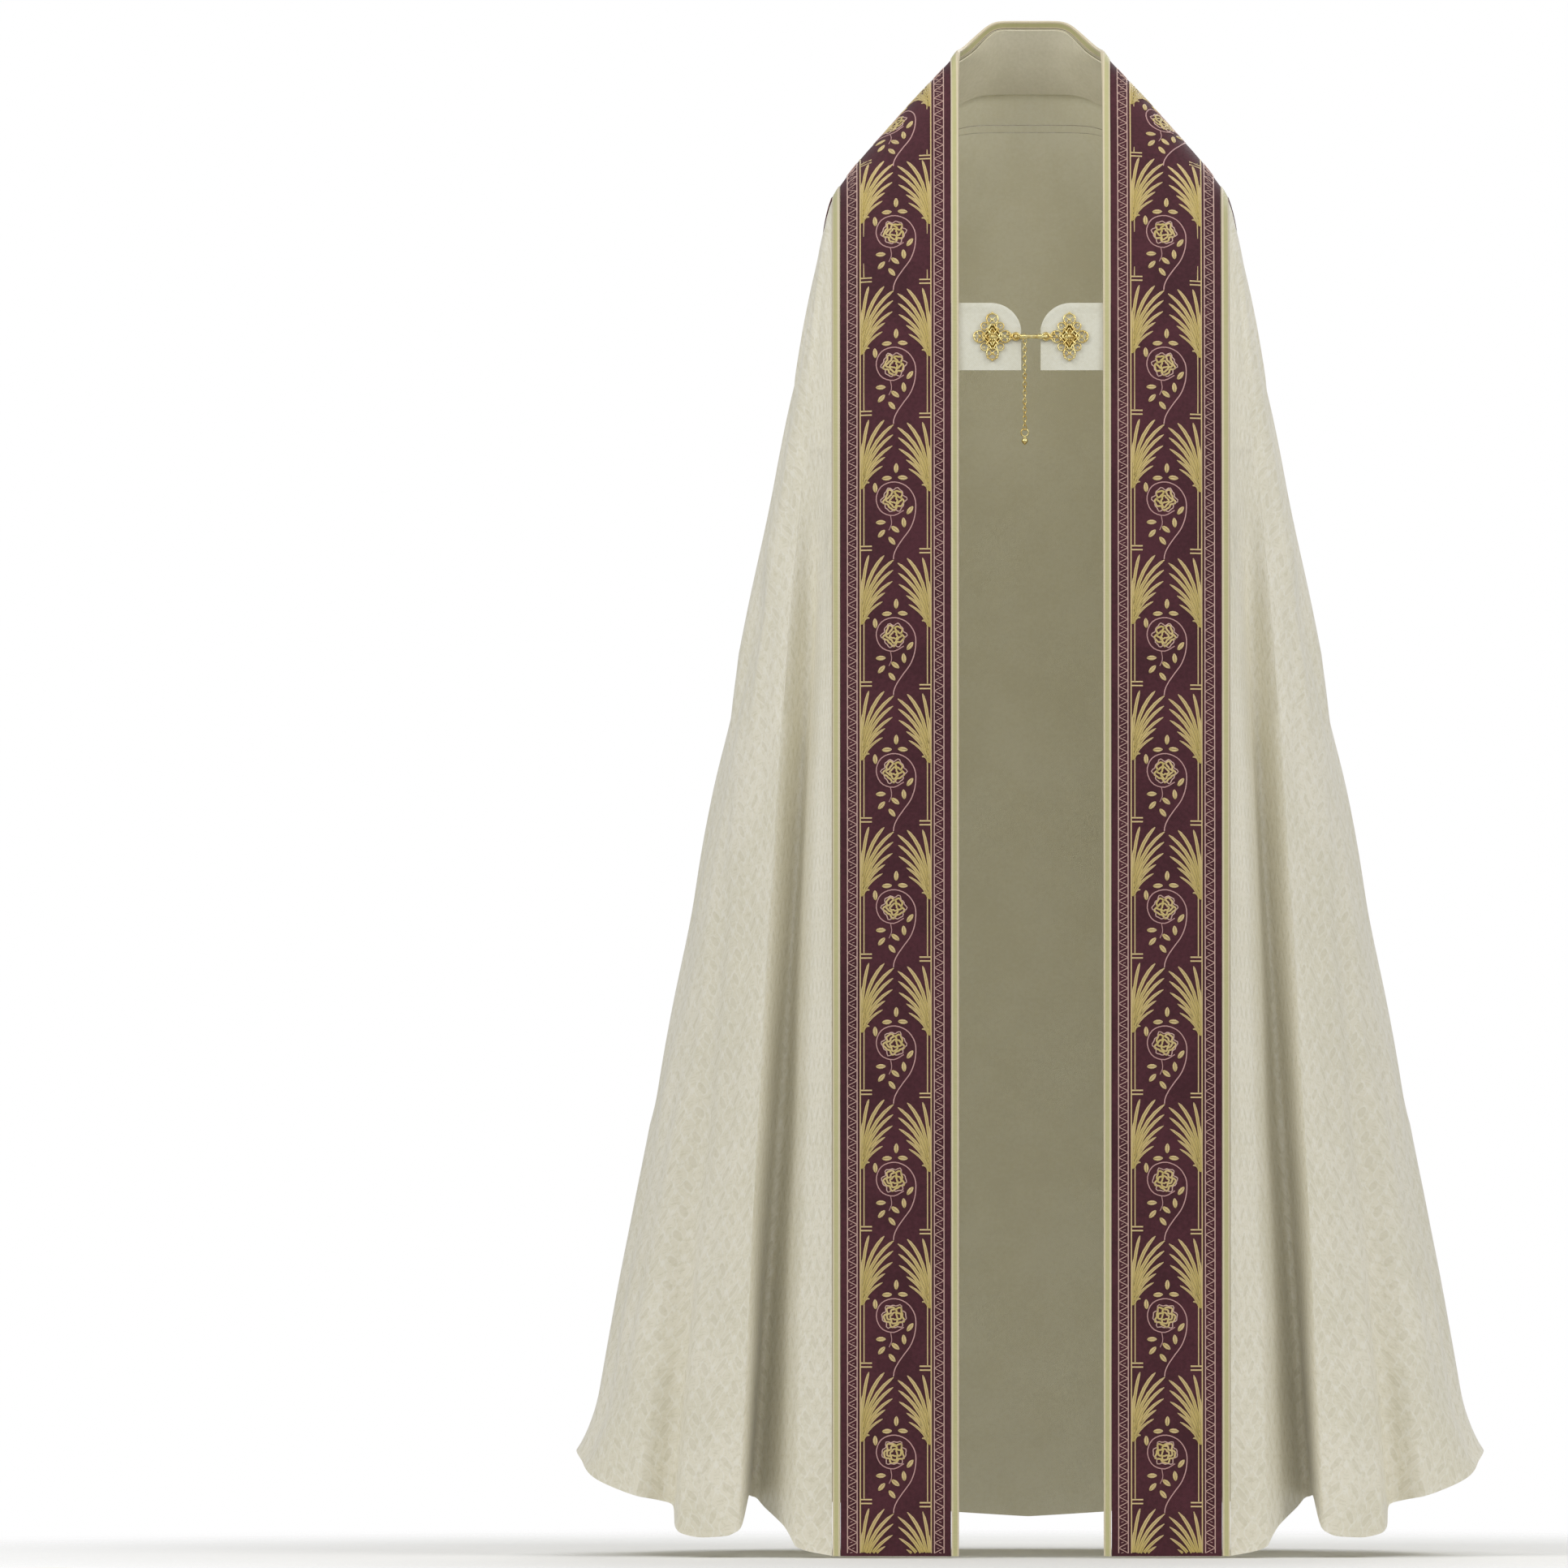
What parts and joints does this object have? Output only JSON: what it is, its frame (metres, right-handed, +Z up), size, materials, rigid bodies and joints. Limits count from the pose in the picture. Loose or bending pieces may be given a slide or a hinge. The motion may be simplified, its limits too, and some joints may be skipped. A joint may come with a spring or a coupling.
{
  "type": "cope vestment",
  "caption": "Long open cope with embroidered front bands, a pointed hood on the back and a hooked clasp with a hanging chain, in the hollow form it has when worn.",
  "frame": {"origin": "middle of the line on which the wearer's two shoulders carry the cloth, 1.40 m above the front hem", "axes": "the open front faces -Y, +X is the viewer's right seen from the front, +Z is up"},
  "size_m": [0.8918, 0.522, 1.5035],
  "materials": {
    "ivory_brocade": "ivory figured brocade with a soft silk sheen",
    "burgundy_cloth": "matte dark burgundy cloth",
    "gold_binding": "pale gold woven braid",
    "neck_lining": "grey-beige plain lining cloth",
    "clasp_gold": "bright gold-plated metal"
  },
  "bodies": {
    "cope": {"mantle_back": "ivory_brocade", "mantle_left": "ivory_brocade", "mantle_right": "ivory_brocade", "band_left": "burgundy_cloth", "band_right": "burgundy_cloth", "binding_inner_left": "gold_binding", "binding_inner_right": "gold_binding", "binding_outer_left": "gold_binding", "binding_outer_right": "gold_binding", "neck_facing": "neck_lining", "hood_panel": "burgundy_cloth", "hood_border_left": "burgundy_cloth", "hood_border_right": "burgundy_cloth", "hood_border_lower_left": "burgundy_cloth", "hood_border_lower_right": "burgundy_cloth", "clasp_tab_left": "ivory_brocade", "clasp_tab_right": "ivory_brocade", "clasp_plate_left": "clasp_gold", "clasp_plate_right": "clasp_gold", "clasp_hook": "clasp_gold"},
    "chain": {"clasp_chain": "clasp_gold", "clasp_drop": "clasp_gold"}
  },
  "joints": [
    {"name": "chain_swing", "type": "hinge", "parent": "cope", "child": "chain", "pos_m": [-0.006, -0.1277, -0.209], "axis": [-1, 0, 0], "range_deg": [0, 75]}
  ]
}
